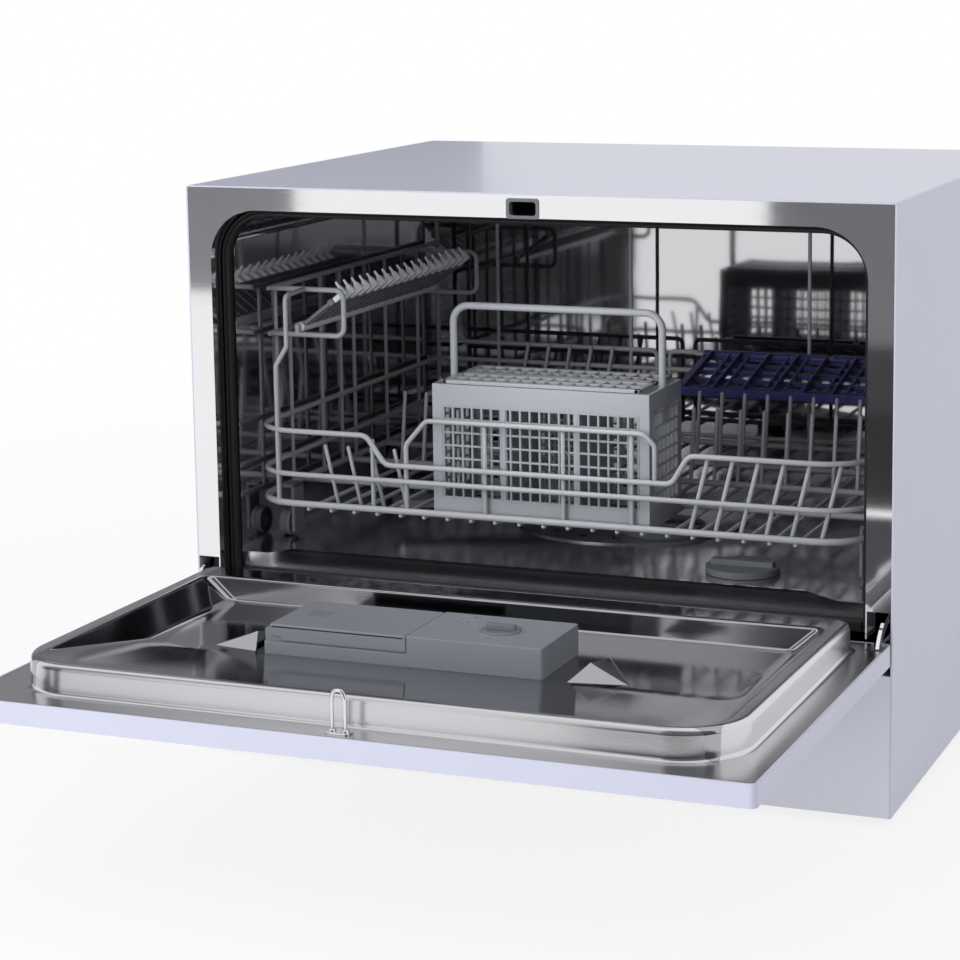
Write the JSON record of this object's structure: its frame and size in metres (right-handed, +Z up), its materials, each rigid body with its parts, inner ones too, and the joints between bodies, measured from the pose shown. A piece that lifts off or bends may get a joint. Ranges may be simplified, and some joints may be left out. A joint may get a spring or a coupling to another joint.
{
  "type": "countertop dishwasher",
  "caption": "Compact countertop dishwasher with drop-down door, pull-out wire rack on rollers, lidded cutlery basket, folding cup shelves, spray arm and detergent dispenser.",
  "frame": {"origin": "centre of the bounding box in plan, at the underside of the feet, with the door open", "axes": "+X to the right and +Z up as seen from the front; +Y to the back, so the open door points to -Y"},
  "size_m": [0.55, 0.8166, 0.444],
  "materials": {
    "white_enamel": "powder-coated sheet steel",
    "zinc_sheet": "galvanised sheet",
    "white_plastic": "moulded, light gloss",
    "clear_white_plastic": "natural polypropylene",
    "face_steel": "smooth stainless sheet around the opening",
    "polished_steel": "mirror-polished stainless sheet",
    "satin_steel": "satin",
    "bright_steel": "bright plated",
    "black_plastic": "moulded, matte",
    "grey_plastic": "moulded, satin",
    "light_grey_plastic": "moulded, satin",
    "navy_plastic": "moulded, satin",
    "coated_wire": "nylon-coated steel wire",
    "black_rubber": "extruded, matte",
    "dark_window": "smoked, polished",
    "circuit_board": "lacquered board",
    "felt_mat": "pressed felt"
  },
  "bodies": {
    "cabinet": {"cabinet_wrap": "white_enamel", "rear_panel": "zinc_sheet", "base_tray": "black_plastic", "feet": "black_plastic", "fascia": "white_plastic", "display_window": "dark_window", "control_board": "circuit_board", "front_frame": "face_steel", "tub": "polished_steel", "door_seal": "black_rubber", "hinge_brackets": "satin_steel", "latch_housing": "black_plastic", "filter_plate": "satin_steel", "softener": "clear_white_plastic", "sump": "black_plastic", "wash_pump": "grey_plastic", "drain_pump": "grey_plastic", "inlet_valve": "clear_white_plastic", "drain_spigot": "black_plastic", "cord_gland": "black_plastic", "float_switch": "clear_white_plastic", "air_break_tank": "clear_white_plastic", "spray_hub": "black_plastic"},
    "power_button": {"power_button": "white_plastic"},
    "program_button": {"program_button": "white_plastic"},
    "delay_button": {"delay_button": "white_plastic"},
    "start_button": {"start_button": "white_plastic"},
    "latch_bolt": {"latch_bolt": "satin_steel"},
    "filter_cup": {"filter_cup": "grey_plastic"},
    "salt_cap": {"salt_cap": "grey_plastic"},
    "spray_arm": {"spray_arm": "satin_steel"},
    "door": {"door_outer_pan": "white_enamel", "door_inner_panel": "polished_steel", "door_insulation": "felt_mat", "handle_cup": "white_plastic", "hinge_blocks": "black_plastic", "hinge_pins": "satin_steel", "hinge_springs": "satin_steel", "hinge_arms": "bright_steel", "latch_hook": "white_plastic", "dispenser_body": "grey_plastic"},
    "dispenser_lid": {"dispenser_lid": "grey_plastic"},
    "rinse_aid_cap": {"rinse_aid_cap": "grey_plastic"},
    "rack": {"rack_front_fence": "coated_wire", "rack_floor": "coated_wire", "rack_left_frame": "coated_wire", "rack_right_frame": "coated_wire", "rack_back_frame": "coated_wire", "tine_rows": "coated_wire", "roller_brackets": "light_grey_plastic"},
    "roller_front_left": {"roller_front_left": "light_grey_plastic"},
    "roller_front_right": {"roller_front_right": "light_grey_plastic"},
    "roller_back_left": {"roller_back_left": "light_grey_plastic"},
    "roller_back_right": {"roller_back_right": "light_grey_plastic"},
    "basket": {"cutlery_basket": "light_grey_plastic", "basket_handle": "light_grey_plastic"},
    "basket_lid_front": {"basket_lid_front": "light_grey_plastic"},
    "basket_lid_back": {"basket_lid_back": "light_grey_plastic"},
    "left_cup_shelf": {"left_cup_shelf": "light_grey_plastic"},
    "right_cup_shelf": {"right_cup_shelf": "navy_plastic"}
  },
  "joints": [
    {"name": "door_hinge", "type": "hinge", "parent": "cabinet", "child": "door", "pos_m": [0, -0.09025, 0.1255], "axis": [-1, 0, 0], "range_deg": [0, 90]},
    {"name": "rack_slide", "type": "slide", "parent": "cabinet", "child": "rack", "axis": [0, 1, 0], "range_m": [-0.3, 0]},
    {"name": "roller_front_left_spin", "type": "hinge", "parent": "rack", "child": "roller_front_left", "pos_m": [-0.2395, 0.01125, 0.1671], "axis": [1, 0, 0], "continuous": true},
    {"name": "roller_front_right_spin", "type": "hinge", "parent": "rack", "child": "roller_front_right", "pos_m": [0.2395, 0.01125, 0.1671], "axis": [1, 0, 0], "continuous": true},
    {"name": "roller_back_left_spin", "type": "hinge", "parent": "rack", "child": "roller_back_left", "pos_m": [-0.2395, 0.27325, 0.1671], "axis": [1, 0, 0], "continuous": true},
    {"name": "roller_back_right_spin", "type": "hinge", "parent": "rack", "child": "roller_back_right", "pos_m": [0.2395, 0.27325, 0.1671], "axis": [1, 0, 0], "continuous": true},
    {"name": "basket_lift", "type": "slide", "parent": "rack", "child": "basket", "axis": [0, 0, 1], "range_m": [0, 0.045]},
    {"name": "basket_lid_front_hinge", "type": "hinge", "parent": "basket", "child": "basket_lid_front", "pos_m": [0, -0.03615, 0.2945], "axis": [1, 0, 0], "range_deg": [0, 100]},
    {"name": "basket_lid_back_hinge", "type": "hinge", "parent": "basket", "child": "basket_lid_back", "pos_m": [0, 0.03885, 0.2945], "axis": [-1, 0, 0], "range_deg": [0, 100]},
    {"name": "left_cup_shelf_hinge", "type": "hinge", "parent": "rack", "child": "left_cup_shelf", "pos_m": [-0.222, -0.07675, 0.326], "axis": [0, -1, 0], "range_deg": [0, 50]},
    {"name": "right_cup_shelf_hinge", "type": "hinge", "parent": "rack", "child": "right_cup_shelf", "pos_m": [0, 0.31925, 0.268], "axis": [-1, 0, 0], "range_deg": [0, 98]},
    {"name": "spray_arm_spin", "type": "hinge", "parent": "cabinet", "child": "spray_arm", "pos_m": [0, 0.1554, 0.172], "axis": [0, 0, 1], "continuous": true},
    {"name": "filter_cup_twist", "type": "hinge", "parent": "cabinet", "child": "filter_cup", "pos_m": [0.04, 0.1174, 0.156], "axis": [0, 0, 1], "range_deg": [0, 60]},
    {"name": "salt_cap_twist", "type": "hinge", "parent": "cabinet", "child": "salt_cap", "pos_m": [0.14, 0.00825, 0.156], "axis": [0, 0, 1], "range_deg": [0, 180]},
    {"name": "dispenser_lid_slide", "type": "slide", "parent": "door", "child": "dispenser_lid", "axis": [-1, 0, 0], "range_m": [0, 0.055]},
    {"name": "rinse_aid_cap_twist", "type": "hinge", "parent": "door", "child": "rinse_aid_cap", "pos_m": [0.038, -0.21975, 0.158], "axis": [0, 0, 1], "range_deg": [0, 90]},
    {"name": "power_button_press", "type": "slide", "parent": "cabinet", "child": "power_button", "axis": [0, 1, 0], "range_m": [0, 0.0015], "stiffness_N_per_m": 400, "springref_m": -0.0015},
    {"name": "program_button_press", "type": "slide", "parent": "cabinet", "child": "program_button", "axis": [0, 1, 0], "range_m": [0, 0.0015], "stiffness_N_per_m": 400, "springref_m": -0.0015},
    {"name": "delay_button_press", "type": "slide", "parent": "cabinet", "child": "delay_button", "axis": [0, 1, 0], "range_m": [0, 0.0015], "stiffness_N_per_m": 400, "springref_m": -0.0015},
    {"name": "start_button_press", "type": "slide", "parent": "cabinet", "child": "start_button", "axis": [0, 1, 0], "range_m": [0, 0.0015], "stiffness_N_per_m": 400, "springref_m": -0.0015},
    {"name": "latch_bolt_drop", "type": "slide", "parent": "cabinet", "child": "latch_bolt", "axis": [0, 0, -1], "range_m": [0, 0.005], "stiffness_N_per_m": 100, "springref_m": -0.002}
  ],
  "couplings": [
    {"joint": "roller_front_left_spin", "follows": "rack_slide", "rad_per_m": -90.909},
    {"joint": "roller_front_right_spin", "follows": "rack_slide", "rad_per_m": -90.909},
    {"joint": "roller_back_left_spin", "follows": "rack_slide", "rad_per_m": -90.909},
    {"joint": "roller_back_right_spin", "follows": "rack_slide", "rad_per_m": -90.909}
  ]
}
